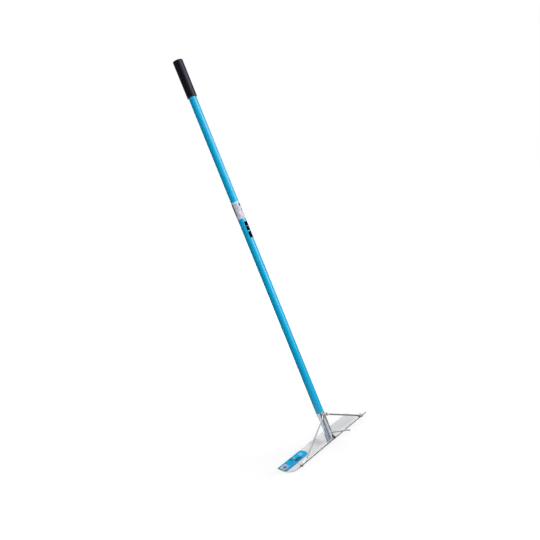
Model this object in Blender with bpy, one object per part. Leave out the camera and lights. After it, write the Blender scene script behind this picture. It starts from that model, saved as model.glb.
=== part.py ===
"""A concrete placing rake: a curved blade on a long tube handle, with two braces and a hook for steel mesh.

Metres. +Z runs up the handle and +Y towards the blade's working edge. The origin is in the middle of
the hand grip. Heights in the sizes below are above the blade's top edge, which is the head's own zero.
"""

import math

import bmesh
import bpy
from mathutils import Matrix, Vector

# Fits
FIT = 0.0003  # gap between two pieces that touch
BOLT_CLEARANCE = 0.0002  # gap all round a bolt or a rivet in its hole

# Handle
TUBE_RADIUS = 0.0160
TUBE_WALL = 0.0015
TUBE_CHAMFER = 0.0004
HANDLE_LENGTH = 1.4500
TUBE_SIDES = 32

# Grip
GRIP_LENGTH = 0.1510
GRIP_WALL = 0.0030
GRIP_SWELL = 0.0007  # how much thicker the wall is at the closed end
GRIP_CAP = 0.0040
GRIP_ROUND = 0.0030
GRIP_LIP = 0.0006
GRIP_LIP_LENGTH = 0.0040

# Socket and the spigot that joins it to the handle
SOCKET_TOP = 0.1080
SPIGOT_WALL = 0.0020
SPIGOT_IN_SOCKET = 0.0450
SPIGOT_IN_HANDLE = 0.0900
RIVET_RADIUS = 0.0024
RIVET_HEAD_RADIUS = 0.0048
RIVET_HEAD_HEIGHT = 0.0016
RIVET_BULB_RADIUS = 0.0034
RIVET_BULB_LENGTH = 0.0050
RIVET_HEIGHTS = (0.0220, 0.0620)  # above the handle's lower end

# Blade: a sheet bent to an arc, hollow towards the grip
BLADE_LENGTH = 0.4950
BLADE_CHORD = 0.1010
BLADE_RISE = 0.0142  # depth of the hollow
BLADE_THICKNESS = 0.0030
BLADE_CORNER = 0.0040
BLADE_TILT = math.radians(4.9)  # how far the working edge leans up towards the grip
EDGE_SETBACK = 0.0217  # from the handle's axis forward to the top edge
BLADE_ROWS = 14
CORNER_ROWS = 4

# Welds
FOOT_WELD_LEG = 0.0042
HOOK_WELD_LEG = 0.0032
WELD_BULGE = 0.30  # share of the leg that the bead swells past a flat fillet

# Lug in front of the socket, a small gusset that reaches over the blade's top edge
LUG_WIDTH = 0.0052
LUG_TOP = 0.0136
LUG_FALL = 0.0116  # how far its top slopes down towards the front
LUG_LEG = 0.0014
LUG_DROP = 0.0026
LUG_BEVEL = 0.0005

# Braces: round rod, flattened and drilled at both ends
ROD_RADIUS = 0.0030
TAB_WIDTH = 0.0120
TAB_THICKNESS = 0.0026
TAB_FLAT = 0.0110  # flat length from the upper hole towards the rod
TAB_FADE = 0.0140  # length over which that flat becomes round
TAB_END = math.radians(78)  # how far round a tab's rounded end the last section lies
TAB_STEPS = 4  # sections over a tab's rounded end, and over the fade from flat to round
BRACE_TOP = 0.0980
BRACE_END_MARGIN = 0.0295  # from the blade's end to the hole at the foot
BRACE_INSET = 0.0090  # from the top edge to the hole at the foot, along the chord
FOOT_FLAT = 0.0160  # from the foot's hole back to the lower bend
KNEE_BACK = 0.0280  # from the foot's hole back to the upper bend
KNEE_SETBACK = 0.0017  # of the rod at the upper bend, behind the blade's top edge
KNEE_GAP = 0.0046  # under the rod at the upper bend, to the level of the top edge
BRACE_BEND_RADIUS = 0.0140
BEND_STEPS = 4
BETWEEN_BENDS = (0.33, 0.67)  # shares of the run between the bends that get a section
ROD_SIDES = 14

# Bolts, nuts and washers of the braces
BOLT_RADIUS = 0.0025
BOLT_HEAD_RADIUS = 0.0055
BOLT_HEAD_HEIGHT = 0.0026
BOLT_SHOW = 0.0022  # thread past the nut
NUT_ACROSS = 0.0080
NUT_HEIGHT = 0.0040
WASHER_RADIUS = 0.0050
WASHER_THICKNESS = 0.0010

# Hook
HOOK_RADIUS = 0.0030
HOOK_TIP_RADIUS = 0.0036  # of the upset end, which keeps a mesh bar from sliding off
HOOK_SWELL = 0.0050  # length over which the bar swells to the tip
HOOK_HEIGHT = 0.0220
HOOK_REACH = 0.0900  # from the handle's axis to the bend
HOOK_TIP = 0.0150
HOOK_TIP_ANGLE = math.radians(8.0)
HOOK_BEND_RADIUS = 0.0120
HOOK_ROUND = 0.0012

GRIP_MIDDLE = SOCKET_TOP + FIT + HANDLE_LENGTH + FIT + GRIP_CAP - GRIP_LENGTH / 2
BRACE_REACH = BLADE_LENGTH / 2 - BRACE_END_MARGIN


# The blade's arc

ALONG_CHORD = Vector((0.0, math.cos(BLADE_TILT), math.sin(BLADE_TILT)))
OFF_CHORD = Vector((0.0, -math.sin(BLADE_TILT), math.cos(BLADE_TILT)))
INNER_RADIUS = (BLADE_CHORD**2 / 4 + BLADE_RISE**2) / (2 * BLADE_RISE)
HALF_ARC = math.asin(BLADE_CHORD / 2 / INNER_RADIUS)
ARC_CENTRE = (
    Vector((0.0, -EDGE_SETBACK, 0.0))
    + ALONG_CHORD * BLADE_CHORD / 2
    + OFF_CHORD * (INNER_RADIUS - BLADE_RISE)
)


def on_arc(angle, radius, x=0.0):
    """A point at this angle from the middle of the arc, at this distance from its centre."""
    place = ARC_CENTRE + radius * (math.sin(angle) * ALONG_CHORD - math.cos(angle) * OFF_CHORD)
    return Vector((x, place.y, place.z))


def arc_angle(inset):
    """The arc's angle at a distance along the chord from the top edge."""
    return math.asin((inset - BLADE_CHORD / 2) / INNER_RADIUS)


def face_height(y, lift):
    """Height of the blade's inner face at y, with a lift off the face."""
    return ARC_CENTRE.z - math.sqrt((INNER_RADIUS - lift) ** 2 - (y - ARC_CENTRE.y) ** 2)


# Scene and materials


def clear_scene():
    for thing in list(bpy.data.objects):
        bpy.data.objects.remove(thing, do_unlink=True)


def make_material(name, colour, roughness, metallic):
    material = bpy.data.materials.new(name)
    material.use_nodes = True
    shader = material.node_tree.nodes["Principled BSDF"]
    shader.inputs["Base Color"].default_value = (*colour, 1.0)
    shader.inputs["Roughness"].default_value = roughness
    shader.inputs["Metallic"].default_value = metallic
    material.diffuse_color = (*colour, 1.0)
    return material


def make_object(name, bm, material, root):
    """An object from a bmesh, placed in the root's frame and shaded smooth with sharp corners kept."""
    mesh = bpy.data.meshes.new(name)
    bm.to_mesh(mesh)
    bm.free()
    mesh.shade_smooth()
    mesh.set_sharp_from_angle(angle=math.radians(35))
    mesh.materials.append(material)
    made = bpy.data.objects.new(name, mesh)
    made.parent = root
    bpy.context.scene.collection.objects.link(made)
    return made


def make_cutter(name, bm, root):
    mesh = bpy.data.meshes.new(name)
    bm.to_mesh(mesh)
    bm.free()
    made = bpy.data.objects.new(name, mesh)
    made.parent = root
    made.hide_render = True
    made.display_type = "WIRE"
    bpy.context.scene.collection.objects.link(made)
    return made


def cut(piece, cutter):
    boolean = piece.modifiers.new("cut " + cutter.name, "BOOLEAN")
    boolean.operation = "DIFFERENCE"
    boolean.solver = "EXACT"
    boolean.object = cutter


# Shapes


def turned(profile, steps):
    """A solid turned about Z. A profile of (radius, height) that starts on the axis ends there too."""
    bm = bmesh.new()
    points = [bm.verts.new((radius, 0.0, height)) for radius, height in profile]
    pairs = list(zip(points, points[1:]))
    if profile[0][0] > 0:
        pairs.append((points[-1], points[0]))
    edges = [bm.edges.new(pair) for pair in pairs]
    bmesh.ops.spin(
        bm,
        geom=points + edges,
        axis=(0.0, 0.0, 1.0),
        cent=(0.0, 0.0, 0.0),
        angle=2 * math.pi,
        steps=steps,
        use_merge=True,
    )
    bmesh.ops.remove_doubles(bm, verts=bm.verts, dist=1e-6)
    bmesh.ops.recalc_face_normals(bm, faces=bm.faces)
    return bm


def rings_to_solid(rings, closed):
    """Joins rings of points, each to the next. An open row of rings gets a cap at each end."""
    bm = bmesh.new()
    loops = [[bm.verts.new(point) for point in ring] for ring in rings]
    count = len(loops[0])
    for first, second in zip(loops, loops[1:] + (loops[:1] if closed else [])):
        for i in range(count):
            j = (i + 1) % count
            bm.faces.new((first[i], first[j], second[j], second[i]))
    if not closed:
        bm.faces.new(loops[0])
        bm.faces.new(loops[-1])
    bmesh.ops.recalc_face_normals(bm, faces=bm.faces)
    return bm


def along(axis, seat):
    """The turn and place that put a shape's Z along an axis, with its zero at the seat."""
    return Matrix.Translation(seat) @ axis.normalized().to_track_quat("Z", "Y").to_matrix().to_4x4()


def cylinder(radius, low, high, axis, seat, sides):
    """A cylinder from low to high along an axis through the seat."""
    bm = bmesh.new()
    bmesh.ops.create_cone(
        bm,
        cap_ends=True,
        segments=sides,
        radius1=radius,
        radius2=radius,
        depth=high - low,
        matrix=along(axis, seat) @ Matrix.Translation((0.0, 0.0, (low + high) / 2)),
    )
    return bm


def arc_band(inner, outer, half_angle, half_length):
    """A curved plate concentric with the blade, longer and wider than the piece that it trims."""
    steps = 24
    rings = []
    for i in range(steps + 1):
        angle = -half_angle + 2 * half_angle * i / steps
        rings.append(
            [
                on_arc(angle, inner, -half_length),
                on_arc(angle, inner, half_length),
                on_arc(angle, outer, half_length),
                on_arc(angle, outer, -half_length),
            ]
        )
    return rings_to_solid(rings, closed=False)


def tube_profile(radius, wall, low, high):
    """A tube's outline, with its outer corners chamfered."""
    return [
        (radius, high - TUBE_CHAMFER),
        (radius, low + TUBE_CHAMFER),
        (radius - TUBE_CHAMFER, low),
        (radius - wall, low),
        (radius - wall, high),
        (radius - TUBE_CHAMFER, high),
    ]


# Handle and grip


def make_handle(paint, root):
    low = SOCKET_TOP + FIT
    handle = make_object(
        "handle_tube",
        turned(tube_profile(TUBE_RADIUS, TUBE_WALL, low, low + HANDLE_LENGTH), TUBE_SIDES),
        paint,
        root,
    )
    for number, height in enumerate(RIVET_HEIGHTS):
        cut(handle, rivet_hole(f"handle hole {number + 1}", TUBE_RADIUS, TUBE_WALL, low + height, root))
    return handle


def rivet_hole(name, radius, wall, height, root):
    """A cutter through the back wall of a tube, for a rivet."""
    margin = 0.002
    seat = Vector((0.0, 0.0, height))
    shape = cylinder(
        RIVET_RADIUS + BOLT_CLEARANCE, radius - wall - margin, radius + margin, Vector((0, 1, 0)), seat, 16
    )
    return make_cutter(name, shape, root)


def make_grip(rubber, root):
    """A closed rubber sleeve, pushed on over the handle's upper end."""
    top = GRIP_MIDDLE + GRIP_LENGTH / 2
    low = top - GRIP_LENGTH
    inside = TUBE_RADIUS + FIT
    body = TUBE_RADIUS + FIT + GRIP_WALL
    end = body + GRIP_SWELL
    lip = body + GRIP_LIP
    rounded = [
        (
            end - GRIP_ROUND * (1 - math.cos(turn)),
            top - GRIP_ROUND * (1 - math.sin(turn)),
        )
        for turn in (math.radians(step * 18) for step in range(6))
    ]
    profile = [
        (0.0, top),
        *reversed(rounded),
        (body, low + GRIP_LIP_LENGTH * 1.5),
        (lip, low + GRIP_LIP_LENGTH),
        (lip, low + GRIP_LIP),
        (lip - GRIP_LIP, low),
        (inside, low),
        (inside, top - GRIP_CAP),
        (0.0, top - GRIP_CAP),
    ]
    return make_object("rubber_grip", turned(profile, TUBE_SIDES), rubber, root)


# Socket, spigot and rivets


def make_socket(steel, root):
    """The tube under the handle. Its foot is cut to sit in the hollow of the blade."""
    deepest = face_height(ARC_CENTRE.y, 0.0)
    socket = make_object(
        "socket_tube",
        turned(tube_profile(TUBE_RADIUS, TUBE_WALL, deepest, SOCKET_TOP), TUBE_SIDES),
        steel,
        root,
    )
    allowance = 2 * TUBE_RADIUS
    saddle = arc_band(INNER_RADIUS - FIT, INNER_RADIUS + allowance, HALF_ARC * 1.3, allowance)
    cut(socket, make_cutter("socket saddle", saddle, root))
    through = cylinder(
        BOLT_RADIUS + BOLT_CLEARANCE,
        -2 * TUBE_RADIUS,
        2 * TUBE_RADIUS,
        Vector((0, 1, 0)),
        Vector((0.0, 0.0, BRACE_TOP)),
        16,
    )
    hole = make_cutter("brace bolt hole", through, root)
    cut(socket, hole)
    return socket, hole


def make_spigot(steel, bolt_hole, root):
    """The tube inside both ends, which the handle's rivets and the braces' bolt go through."""
    radius = TUBE_RADIUS - TUBE_WALL - FIT
    low = SOCKET_TOP - SPIGOT_IN_SOCKET
    high = SOCKET_TOP + SPIGOT_IN_HANDLE
    spigot = make_object(
        "spigot_tube", turned(tube_profile(radius, SPIGOT_WALL, low, high), TUBE_SIDES), steel, root
    )
    cut(spigot, bolt_hole)
    for number, height in enumerate(RIVET_HEIGHTS):
        place = SOCKET_TOP + FIT + height
        cut(spigot, rivet_hole(f"spigot hole {number + 1}", radius, SPIGOT_WALL, place, root))
    return spigot


def make_handle_rivets(steel, root):
    """Blind rivets in the back of the handle, each with its head outside and its bulb inside."""
    head = TUBE_RADIUS + FIT
    bulb = TUBE_RADIUS - TUBE_WALL - FIT - SPIGOT_WALL - FIT
    profile = [
        (0.0, head + RIVET_HEAD_HEIGHT),
        (RIVET_HEAD_RADIUS * 0.45, head + RIVET_HEAD_HEIGHT * 0.94),
        (RIVET_HEAD_RADIUS * 0.80, head + RIVET_HEAD_HEIGHT * 0.68),
        (RIVET_HEAD_RADIUS, head + RIVET_HEAD_HEIGHT * 0.20),
        (RIVET_HEAD_RADIUS, head),
        (RIVET_RADIUS, head),
        (RIVET_RADIUS, bulb),
        (RIVET_BULB_RADIUS, bulb - RIVET_BULB_LENGTH * 0.12),
        (RIVET_BULB_RADIUS, bulb - RIVET_BULB_LENGTH * 0.60),
        (RIVET_RADIUS, bulb - RIVET_BULB_LENGTH),
        (0.0, bulb - RIVET_BULB_LENGTH),
    ]
    for name, height in zip(("handle_rivet_lower", "handle_rivet_upper"), RIVET_HEIGHTS):
        shape = turned(profile, 20)
        place = along(Vector((0, 1, 0)), Vector((0.0, 0.0, SOCKET_TOP + FIT + height)))
        shape.transform(place)
        make_object(name, shape, steel, root)


# Blade


def blade_rows():
    """(arc length from the top edge, half the blade's length there), with the corners rounded."""
    whole = 2 * HALF_ARC * INNER_RADIUS
    full = BLADE_LENGTH / 2
    corner = []
    for i in range(CORNER_ROWS + 1):
        turn = math.radians(90) * i / CORNER_ROWS
        corner.append((BLADE_CORNER * (1 - math.cos(turn)), full - BLADE_CORNER * (1 - math.sin(turn))))
    middle = [
        (BLADE_CORNER + (whole - 2 * BLADE_CORNER) * i / BLADE_ROWS, full) for i in range(1, BLADE_ROWS)
    ]
    return corner + middle + [(whole - s, half) for s, half in reversed(corner)]


def make_blade(aluminium, root):
    outer = INNER_RADIUS + BLADE_THICKNESS
    rings = []
    for length, half in blade_rows():
        angle = length / INNER_RADIUS - HALF_ARC
        rings.append(
            [
                on_arc(angle, INNER_RADIUS, -half),
                on_arc(angle, INNER_RADIUS, half),
                on_arc(angle, outer, half),
                on_arc(angle, outer, -half),
            ]
        )
    blade = make_object("blade", rings_to_solid(rings, closed=False), aluminium, root)
    axis = foot_axis()
    for side, word in ((-1, "left"), (1, "right")):
        hole = cylinder(
            BOLT_RADIUS + BOLT_CLEARANCE,
            -2 * BLADE_THICKNESS,
            2 * BLADE_THICKNESS,
            axis,
            foot_place(side, 0.0),
            16,
        )
        cut(blade, make_cutter("blade hole " + word, hole, root))
    return blade


def foot_axis():
    """The blade's normal at the braces' feet, pointing into the hollow."""
    angle = arc_angle(BRACE_INSET)
    return (ARC_CENTRE - on_arc(angle, INNER_RADIUS)).normalized()


def foot_place(side, lift):
    """The middle of a brace's foot hole, at a lift off the blade's inner face."""
    return on_arc(arc_angle(BRACE_INSET), INNER_RADIUS - lift, side * BRACE_REACH)


# Welds


def fillet(corner, up, out):
    """A bead's section: two legs from a corner, and a face that swells a little."""
    middle = (up + out) / 2
    swell = (middle - corner) * (1 + WELD_BULGE)
    return [corner, up, (up + corner + swell) / 2, corner + swell, (out + corner + swell) / 2, out]


def make_foot_weld(steel, root):
    """The bead between the socket's foot and the blade, open at the front where the lug stands."""
    wall = TUBE_RADIUS + FIT
    rim = wall + FOOT_WELD_LEG
    start = math.asin((LUG_WIDTH / 2 + 2 * FIT) / wall)
    steps = 30
    rings = []
    for i in range(steps + 1):
        turn = -math.pi / 2 + start + (2 * math.pi - 2 * start) * i / steps
        way = Vector((math.cos(turn), math.sin(turn), 0.0))
        low = wall * way
        low.z = face_height(low.y, FIT)
        out = rim * way
        out.z = face_height(out.y, FIT)
        rings.append(fillet(low, low + Vector((0.0, 0.0, FOOT_WELD_LEG)), out))
    make_object("foot_weld", rings_to_solid(rings, closed=False), steel, root)


def make_hook_weld(steel, root):
    """The bead all round the hook's root, laid on the socket's round front."""
    inner = HOOK_RADIUS + FIT
    rim = inner + HOOK_WELD_LEG
    wall = TUBE_RADIUS + FIT
    steps = 20
    rings = []
    for i in range(steps):
        turn = 2 * math.pi * i / steps
        across = Vector((math.cos(turn), 0.0, math.sin(turn)))

        def on_tube(radius):
            place = across * radius
            place.y = -math.sqrt(wall**2 - place.x**2)
            place.z += HOOK_HEIGHT
            return place

        low = on_tube(inner)
        rings.append(fillet(low, low + Vector((0.0, -HOOK_WELD_LEG, 0.0)), on_tube(rim)))
    make_object("hook_weld", rings_to_solid(rings, closed=True), steel, root)


# Lug


def make_lug(black, root):
    """A small gusset on the socket's front that reaches over the blade's top edge."""
    back = -(TUBE_RADIUS + FIT)
    edge = on_arc(-HALF_ARC, INNER_RADIUS + BLADE_THICKNESS).y - FIT
    outline = [
        (back, LUG_TOP),
        (edge - LUG_LEG, LUG_TOP - LUG_FALL),
        (edge - LUG_LEG, -LUG_DROP),
        (edge, -LUG_DROP),
        (edge, face_height(-EDGE_SETBACK, FIT) + FIT),
        (back, face_height(back, FIT)),
    ]
    rings = [[Vector((x, y, z)) for y, z in outline] for x in (-LUG_WIDTH / 2, LUG_WIDTH / 2)]
    lug = make_object("front_lug", rings_to_solid(rings, closed=False), black, root)
    bevel = lug.modifiers.new("edges", "BEVEL")
    bevel.width = LUG_BEVEL
    bevel.segments = 2
    bevel.limit_method = "ANGLE"
    bevel.angle_limit = math.radians(60)


# Hook


def make_hook(steel, root):
    """A round bar that stands straight out of the socket's front, with its tip turned down."""
    stations = []
    bend_length = HOOK_BEND_RADIUS * HOOK_TIP_ANGLE
    bend_start = -HOOK_REACH + bend_length / 2
    stations.append((Vector((0.0, -(TUBE_RADIUS + FIT), HOOK_HEIGHT)), 0.0, HOOK_RADIUS))
    for i in range(5):
        turn = HOOK_TIP_ANGLE * i / 4
        place = Vector(
            (
                0.0,
                bend_start - HOOK_BEND_RADIUS * math.sin(turn),
                HOOK_HEIGHT - HOOK_BEND_RADIUS * (1 - math.cos(turn)),
            )
        )
        stations.append((place, turn, HOOK_RADIUS))
    last = stations[-1][0]
    way = Vector((0.0, -math.cos(HOOK_TIP_ANGLE), -math.sin(HOOK_TIP_ANGLE)))
    straight = HOOK_TIP - bend_length / 2
    tip = (
        (HOOK_SWELL * 0.5, (HOOK_RADIUS + HOOK_TIP_RADIUS) / 2),
        (HOOK_SWELL, HOOK_TIP_RADIUS),
        (straight - HOOK_ROUND, HOOK_TIP_RADIUS),
        (straight - HOOK_ROUND * 0.3, HOOK_TIP_RADIUS - HOOK_ROUND * 0.3),
        (straight, HOOK_TIP_RADIUS - HOOK_ROUND),
    )
    for distance, radius in tip:
        stations.append((last + way * distance, HOOK_TIP_ANGLE, radius))
    rings = []
    for place, turn, radius in stations:
        across = Vector((1.0, 0.0, 0.0))
        up = Vector((0.0, -math.sin(turn), math.cos(turn)))
        ring = []
        for i in range(ROD_SIDES):
            angle = 2 * math.pi * i / ROD_SIDES
            ring.append(place + radius * (math.cos(angle) * across + math.sin(angle) * up))
        rings.append(ring)
    make_object("mesh_hook", rings_to_solid(rings, closed=False), steel, root)


# Braces


def flat_ring(place, first, second, half_first, half_second, flatness):
    """A ring that runs from round, at flatness 0, to a bar with rounded corners, at flatness 1."""
    power = 2 / (2 + 3 * flatness)
    ring = []
    for i in range(ROD_SIDES):
        angle = 2 * math.pi * (i + 0.5) / ROD_SIDES
        c, s = math.cos(angle), math.sin(angle)
        a = math.copysign(abs(c) ** power, c) * half_first
        b = math.copysign(abs(s) ** power, s) * half_second
        ring.append(place + a * first + b * second)
    return ring


def ease(share):
    return (1 - math.cos(math.pi * min(max(share, 0.0), 1.0))) / 2


def bend(before, corner, after):
    """(place, heading) at even turns round a bend between two straight runs."""
    first = (corner - before).normalized()
    second = (after - corner).normalized()
    turn = first.angle(second)
    axis = first.cross(second).normalized()
    start = corner - first * BRACE_BEND_RADIUS * math.tan(turn / 2)
    centre = start + axis.cross(first) * BRACE_BEND_RADIUS
    turns = [Matrix.Rotation(turn * i / BEND_STEPS, 3, axis) for i in range(BEND_STEPS + 1)]
    return [(centre + spin @ (start - centre), spin @ first) for spin in turns]


def brace_rings(side, top_y):
    """The brace's sections: its upper tab, the rod, two bends down over the blade's edge and the foot tab."""
    half_wide, half_thin = TAB_WIDTH / 2, TAB_THICKNESS / 2
    normal = foot_axis()
    sideways = Vector((side, 0.0, 0.0))
    cross = normal.cross(Vector((1.0, 0.0, 0.0))).normalized()
    if cross.y < 0:
        cross = -cross
    sag = half_wide**2 / (2 * INNER_RADIUS)
    hole = foot_place(side, FIT + sag + half_thin)
    toe = hole - sideways * FOOT_FLAT
    knee = Vector(
        (side * (BRACE_REACH - KNEE_BACK), KNEE_SETBACK - EDGE_SETBACK, ROD_RADIUS + KNEE_GAP)
    )
    top = Vector((0.0, top_y, BRACE_TOP))
    way = (knee - top).normalized()
    y_axis = Vector((0.0, 1.0, 0.0))

    def section(place, heading, on_blade, flatness, width=1.0):
        """The tab's flat side faces the socket at the top, and the blade at the foot."""
        first = cross if on_blade else y_axis
        first = (first - heading * first.dot(heading)).normalized()
        second = heading.cross(first).normalized()
        thin = ROD_RADIUS + (half_thin - ROD_RADIUS) * flatness
        wide = (ROD_RADIUS + (half_wide - ROD_RADIUS) * flatness) * width
        halves = (wide, thin) if on_blade else (thin, wide)
        return flat_ring(place, first, second, *halves, flatness)

    rings = []
    for step in range(TAB_STEPS + 1):
        angle = TAB_END * (1 - step / TAB_STEPS)
        rings.append(
            section(top - way * half_wide * math.sin(angle), way, False, 1.0, math.cos(angle))
        )
    rings.append(section(top + way * TAB_FLAT, way, False, 1.0))
    for step in range(1, TAB_STEPS + 1):
        place = top + way * (TAB_FLAT + TAB_FADE * step / TAB_STEPS)
        rings.append(section(place, way, False, 1 - ease(step / TAB_STEPS)))

    upper = bend(top, knee, toe)
    lower = bend(knee, toe, hole)
    straight = lower[0][0] - upper[-1][0]
    between = [(upper[-1][0] + straight * share, straight.normalized()) for share in BETWEEN_BENDS]
    start = upper[0][0].x
    fade = lower[0][0].x - start
    for place, heading in upper + between + lower:
        rings.append(section(place, heading, True, ease((place.x - start) / fade)))
    for step in range(TAB_STEPS + 1):
        angle = TAB_END * step / TAB_STEPS
        rings.append(
            section(hole + sideways * half_wide * math.sin(angle), sideways, True, 1.0, math.cos(angle))
        )
    return rings


def tab_depth(layer):
    """How far in front of the handle's axis the middle of a brace's upper tab lies."""
    return TUBE_RADIUS + FIT + TAB_THICKNESS / 2 + layer * (TAB_THICKNESS + FIT)


def make_braces(steel, bolt_hole, root):
    """Two braces whose upper tabs lie one on the other, on the socket's front."""
    for side, word, layer in ((-1, "left", 0), (1, "right", 1)):
        rings = brace_rings(side, -tab_depth(layer))
        brace = make_object("brace_" + word, rings_to_solid(rings, closed=False), steel, root)
        cut(brace, bolt_hole)
        foot = cylinder(
            BOLT_RADIUS + BOLT_CLEARANCE,
            -2 * TAB_THICKNESS,
            4 * TAB_THICKNESS,
            foot_axis(),
            foot_place(side, 0.0),
            16,
        )
        cut(brace, make_cutter("brace hole " + word, foot, root))


# Fasteners


def bolt(name, seat, axis, grip, steel, root):
    """A round-headed bolt. Its head's underside is at the seat, and it points along the axis."""
    length = grip + BOLT_SHOW
    profile = [
        (0.0, -BOLT_HEAD_HEIGHT),
        (BOLT_HEAD_RADIUS * 0.50, -BOLT_HEAD_HEIGHT * 0.88),
        (BOLT_HEAD_RADIUS * 0.86, -BOLT_HEAD_HEIGHT * 0.52),
        (BOLT_HEAD_RADIUS, 0.0),
        (BOLT_RADIUS, 0.0),
        (BOLT_RADIUS, length - BOLT_RADIUS * 0.2),
        (BOLT_RADIUS * 0.8, length),
        (0.0, length),
    ]
    shape = turned(profile, 20)
    shape.transform(along(axis, seat))
    make_object(name, shape, steel, root)


def bored(name, shape, seat, axis, height, steel, root):
    """A nut or a washer: a shape with the bolt's hole through it."""
    piece = make_object(name, shape, steel, root)
    margin = height
    hole = cylinder(BOLT_RADIUS + BOLT_CLEARANCE, -margin, height + margin, axis, seat, 16)
    cut(piece, make_cutter(name + " bore", hole, root))


def nut(name, seat, axis, steel, root):
    corner_radius = NUT_ACROSS / 2 / math.cos(math.radians(30))
    shape = cylinder(corner_radius, 0.0, NUT_HEIGHT, axis, seat, 6)
    bored(name, shape, seat, axis, NUT_HEIGHT, steel, root)


def washer(name, seat, axis, steel, root):
    shape = cylinder(WASHER_RADIUS, 0.0, WASHER_THICKNESS, axis, seat, 24)
    bored(name, shape, seat, axis, WASHER_THICKNESS, steel, root)


def make_top_fixing(steel, root):
    """One bolt from the front through both braces, the socket and the spigot, with its nut behind."""
    back = Vector((0.0, 1.0, 0.0))
    front = tab_depth(1) + TAB_THICKNESS / 2 + FIT
    behind = TUBE_RADIUS + FIT
    nut_seat = behind + WASHER_THICKNESS + FIT
    centre = Vector((0.0, 0.0, BRACE_TOP))
    bolt("brace_top_bolt", centre - back * front, back, front + nut_seat + NUT_HEIGHT, steel, root)
    washer("brace_top_washer", centre + back * behind, back, steel, root)
    nut("brace_top_nut", centre + back * nut_seat, back, steel, root)


def make_foot_fixings(steel, root):
    """A bolt from behind through the blade at each brace's foot, with a washer and a nut on the tab."""
    axis = foot_axis()
    sag = (TAB_WIDTH / 2) ** 2 / (2 * INNER_RADIUS)
    on_tab = FIT + sag + TAB_THICKNESS + FIT
    on_washer = on_tab + WASHER_THICKNESS + FIT
    behind = -(BLADE_THICKNESS + FIT)
    for side, word in ((-1, "left"), (1, "right")):
        seat = foot_place(side, behind)
        bolt("brace_bolt_" + word, seat, axis, on_washer - behind + NUT_HEIGHT, steel, root)
        washer("brace_washer_" + word, foot_place(side, on_tab), axis, steel, root)
        nut("brace_nut_" + word, foot_place(side, on_washer), axis, steel, root)


def main():
    clear_scene()
    root = bpy.data.objects.new("rake", None)
    root.location = (0.0, 0.0, -GRIP_MIDDLE)
    bpy.context.scene.collection.objects.link(root)

    paint = make_material("blue paint", (0.003, 0.30, 0.58), 0.35, 0.0)
    rubber = make_material("black rubber", (0.012, 0.012, 0.014), 0.65, 0.0)
    zinc = make_material("zinc plated steel", (0.62, 0.64, 0.66), 0.30, 1.0)
    aluminium = make_material("aluminium sheet", (0.70, 0.71, 0.72), 0.42, 1.0)
    black = make_material("black steel", (0.015, 0.015, 0.016), 0.50, 0.0)

    make_handle(paint, root)
    make_grip(rubber, root)
    socket, bolt_hole = make_socket(zinc, root)
    make_spigot(zinc, bolt_hole, root)
    make_handle_rivets(zinc, root)
    make_blade(aluminium, root)
    make_foot_weld(zinc, root)
    make_lug(black, root)
    make_hook(zinc, root)
    make_hook_weld(zinc, root)
    make_braces(zinc, bolt_hole, root)
    make_top_fixing(zinc, root)
    make_foot_fixings(zinc, root)


main()
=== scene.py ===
# Looks of the concrete placing rake: its finishes, the fine shapes of its pieces, the camera and the light.
# Metres, in the frame of the solids: +Z up the handle, +Y towards the blade's working edge.

import math

import bmesh
import bpy
from mathutils import Matrix, Vector
from mathutils.kdtree import KDTree


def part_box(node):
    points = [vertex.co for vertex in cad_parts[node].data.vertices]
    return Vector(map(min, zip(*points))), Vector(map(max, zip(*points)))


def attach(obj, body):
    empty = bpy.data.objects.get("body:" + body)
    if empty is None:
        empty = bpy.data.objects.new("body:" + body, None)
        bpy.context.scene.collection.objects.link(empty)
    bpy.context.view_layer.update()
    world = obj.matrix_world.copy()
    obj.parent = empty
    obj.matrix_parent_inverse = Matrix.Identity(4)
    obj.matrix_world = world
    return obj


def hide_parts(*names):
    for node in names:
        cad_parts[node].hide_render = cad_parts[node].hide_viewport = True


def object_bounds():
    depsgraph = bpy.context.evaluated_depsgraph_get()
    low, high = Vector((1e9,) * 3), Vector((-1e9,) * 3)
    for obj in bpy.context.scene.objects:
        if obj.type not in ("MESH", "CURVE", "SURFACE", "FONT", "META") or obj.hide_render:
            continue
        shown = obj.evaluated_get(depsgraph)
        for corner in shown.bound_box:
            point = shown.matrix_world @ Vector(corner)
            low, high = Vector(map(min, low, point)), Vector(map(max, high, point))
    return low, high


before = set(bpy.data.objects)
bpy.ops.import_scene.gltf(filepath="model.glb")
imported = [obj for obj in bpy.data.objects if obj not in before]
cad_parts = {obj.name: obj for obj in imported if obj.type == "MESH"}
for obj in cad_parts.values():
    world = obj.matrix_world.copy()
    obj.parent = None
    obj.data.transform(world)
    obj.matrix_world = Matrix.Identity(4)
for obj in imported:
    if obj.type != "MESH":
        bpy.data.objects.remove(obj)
cad_low, cad_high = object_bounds()

RIGHT, BACK, UP = Vector((1.0, 0.0, 0.0)), Vector((0.0, 1.0, 0.0)), Vector((0.0, 0.0, 1.0))
SIDES = ((-1, "left"), (1, "right"))

# Places, read from the frame

SOCKET_LOW, SOCKET_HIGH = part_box("socket_tube")
TUBE_RADIUS = (SOCKET_HIGH.x - SOCKET_LOW.x) / 2
SOCKET_TOP = 0.1080  # above the blade's top edge
EDGE_LEVEL = SOCKET_HIGH.z - SOCKET_TOP
HANDLE_LOW, HANDLE_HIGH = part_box("handle_tube")
GRIP_LOW, GRIP_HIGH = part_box("rubber_grip")

# Fits and walls, as in the solids

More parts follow.
